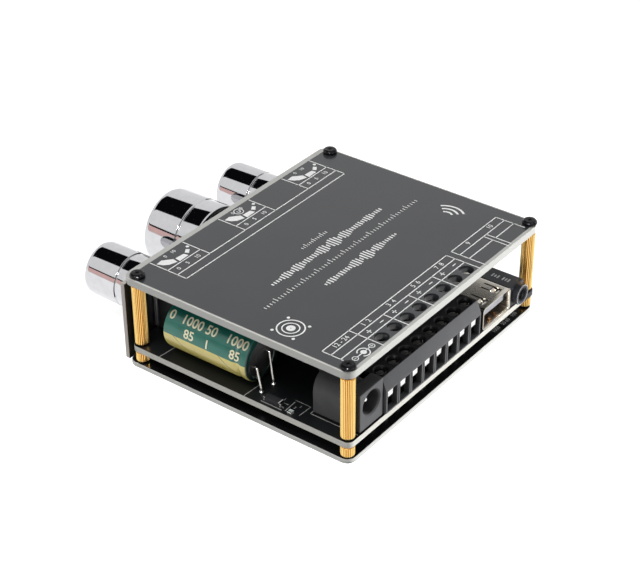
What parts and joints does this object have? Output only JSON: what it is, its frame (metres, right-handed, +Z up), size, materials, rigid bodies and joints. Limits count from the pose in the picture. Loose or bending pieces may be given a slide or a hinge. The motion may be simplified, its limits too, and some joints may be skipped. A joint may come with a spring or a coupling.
{
  "type": "audio amplifier board",
  "caption": "Stereo audio amplifier board between acrylic plates on brass standoffs, with control knobs, a screw terminal block and power and audio sockets.",
  "frame": {"origin": "on the bottom plate's underside, below the middle of the circuit board", "axes": "+X right as seen from the knobs, +Y towards the sockets, +Z up through the plates"},
  "size_m": [0.0804, 0.0897, 0.0267],
  "materials": {
    "top_print": "clear acrylic with a dark grey print under it",
    "base_print": "clear acrylic with a black print",
    "panel": "smooth black sheet with light grey edges",
    "board": "black solder mask with white marks and pale edges",
    "brass": "knurled, lightly polished",
    "black_screw": "black oxide",
    "knob_chrome": "bright turned chrome",
    "steel": "bright plated steel",
    "zinc": "zinc plated",
    "black_plastic": "moulded, satin",
    "tongue_plastic": "moulded, grey",
    "sleeve": "shrunk green sleeve with a pale stripe",
    "heatsink": "black anodised",
    "ferrite": "pressed dark grey",
    "module": "small blue-black board with a plated can"
  },
  "bodies": {
    "board_assembly": {"amplifier_chip_1": "black_plastic", "amplifier_chip_2": "black_plastic", "audio_jack": "black_plastic", "bottom_plate": "base_print", "bottom_screw_1": "black_screw", "bottom_screw_2": "black_screw", "bottom_screw_3": "black_screw", "bottom_screw_4": "black_screw", "dc_jack_housing": "black_plastic", "dc_jack_pin": "steel", "dc_jack_spring": "steel", "front_panel": "panel", "heatsink": "heatsink", "inductor_1": "ferrite", "inductor_2": "ferrite", "inductor_3": "ferrite", "inductor_4": "ferrite", "left_pot_bushing": "zinc", "left_pot_housing": "black_plastic", "left_pot_nut": "zinc", "main_board": "board", "middle_pot_bushing": "zinc", "middle_pot_housing": "black_plastic", "middle_pot_nut": "zinc", "power_capacitor": "sleeve", "right_pot_bushing": "zinc", "right_pot_housing": "black_plastic", "right_pot_nut": "zinc", "short_standoff_1": "brass", "short_standoff_2": "brass", "short_standoff_3": "brass", "short_standoff_4": "brass", "tall_standoff_1": "brass", "tall_standoff_2": "brass", "tall_standoff_3": "brass", "tall_standoff_4": "brass", "terminal_block": "black_plastic", "top_plate": "top_print", "top_screw_1": "black_screw", "top_screw_2": "black_screw", "top_screw_3": "black_screw", "top_screw_4": "black_screw", "usb_insert": "tongue_plastic", "usb_shell": "steel", "wireless_module": "module"},
    "right_control": {"right_knob": "knob_chrome", "right_pot_shaft": "steel"},
    "middle_control": {"middle_knob": "knob_chrome", "middle_pot_shaft": "steel"},
    "left_control": {"left_knob": "knob_chrome", "left_pot_shaft": "steel"},
    "clamp_screw_1": {"terminal_screw_1": "steel"},
    "clamp_screw_2": {"terminal_screw_2": "steel"},
    "clamp_screw_3": {"terminal_screw_3": "steel"},
    "clamp_screw_4": {"terminal_screw_4": "steel"},
    "clamp_screw_5": {"terminal_screw_5": "steel"},
    "clamp_screw_6": {"terminal_screw_6": "steel"},
    "clamp_screw_7": {"terminal_screw_7": "steel"},
    "clamp_screw_8": {"terminal_screw_8": "steel"}
  },
  "joints": [
    {"name": "right_knob_turn", "type": "hinge", "parent": "board_assembly", "child": "right_control", "pos_m": [0.02595, -0.03495, 0.013], "axis": [0, -1, 0], "range_deg": [-150, 150]},
    {"name": "middle_knob_turn", "type": "hinge", "parent": "board_assembly", "child": "middle_control", "pos_m": [0.0003, -0.03495, 0.013], "axis": [0, -1, 0], "range_deg": [-150, 150]},
    {"name": "left_knob_turn", "type": "hinge", "parent": "board_assembly", "child": "left_control", "pos_m": [-0.02535, -0.03495, 0.013], "axis": [0, -1, 0], "range_deg": [-150, 150]},
    {"name": "terminal_screw_1_turn", "type": "hinge", "parent": "board_assembly", "child": "clamp_screw_1", "pos_m": [0.02405, 0.03, 0.0135], "axis": [0, 0, 1], "range_deg": [0, 1440]},
    {"name": "terminal_screw_2_turn", "type": "hinge", "parent": "board_assembly", "child": "clamp_screw_2", "pos_m": [0.01905, 0.03, 0.0135], "axis": [0, 0, 1], "range_deg": [0, 1440]},
    {"name": "terminal_screw_3_turn", "type": "hinge", "parent": "board_assembly", "child": "clamp_screw_3", "pos_m": [0.01405, 0.03, 0.0135], "axis": [0, 0, 1], "range_deg": [0, 1440]},
    {"name": "terminal_screw_4_turn", "type": "hinge", "parent": "board_assembly", "child": "clamp_screw_4", "pos_m": [0.00905, 0.03, 0.0135], "axis": [0, 0, 1], "range_deg": [0, 1440]},
    {"name": "terminal_screw_5_turn", "type": "hinge", "parent": "board_assembly", "child": "clamp_screw_5", "pos_m": [0.00405, 0.03, 0.0135], "axis": [0, 0, 1], "range_deg": [0, 1440]},
    {"name": "terminal_screw_6_turn", "type": "hinge", "parent": "board_assembly", "child": "clamp_screw_6", "pos_m": [-0.00095, 0.03, 0.0135], "axis": [0, 0, 1], "range_deg": [0, 1440]},
    {"name": "terminal_screw_7_turn", "type": "hinge", "parent": "board_assembly", "child": "clamp_screw_7", "pos_m": [-0.00595, 0.03, 0.0135], "axis": [0, 0, 1], "range_deg": [0, 1440]},
    {"name": "terminal_screw_8_turn", "type": "hinge", "parent": "board_assembly", "child": "clamp_screw_8", "pos_m": [-0.01095, 0.03, 0.0135], "axis": [0, 0, 1], "range_deg": [0, 1440]}
  ]
}
